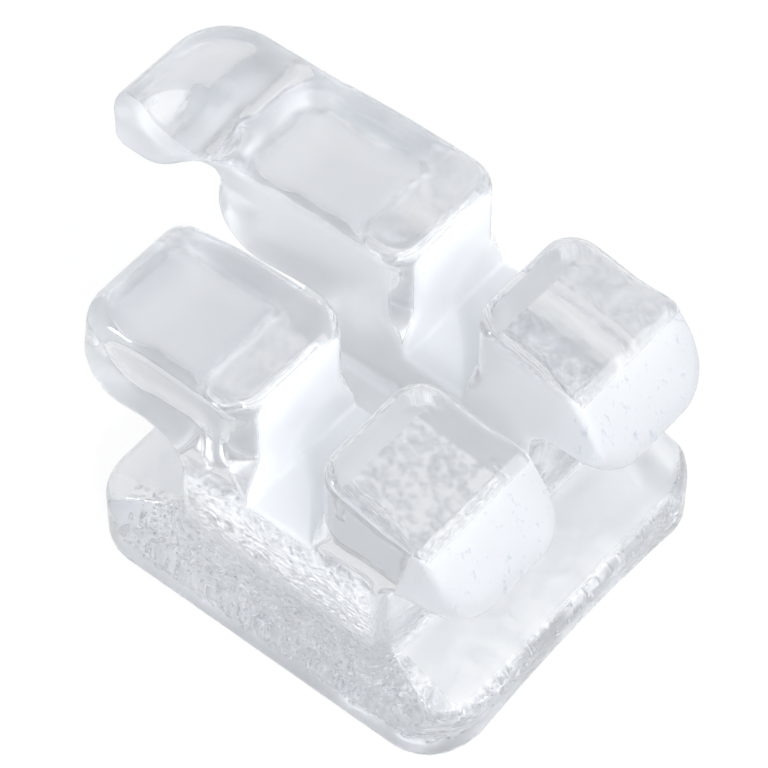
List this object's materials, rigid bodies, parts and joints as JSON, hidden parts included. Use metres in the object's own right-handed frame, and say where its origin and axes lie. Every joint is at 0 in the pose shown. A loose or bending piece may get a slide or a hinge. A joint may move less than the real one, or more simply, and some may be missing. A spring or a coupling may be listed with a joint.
{
  "type": "orthodontic bracket",
  "caption": "Clear ceramic twin bracket with tie wings, an archwire slot, a hollow bonding pad and an elastic hook on one wing.",
  "frame": {"origin": "on the plane where the rim of the bonding pad stands, under the middle of the archwire slot", "axes": "+X along the archwire slot, +Y towards the gum and the elastic hook, +Z away from the tooth"},
  "size_m": [0.0032, 0.0048, 0.0026],
  "materials": {
    "clear_sapphire": "polished single-crystal alumina with fire-softened edges"
  },
  "bodies": {
    "root": {"bracket": "clear_sapphire"}
  },
  "joints": []
}
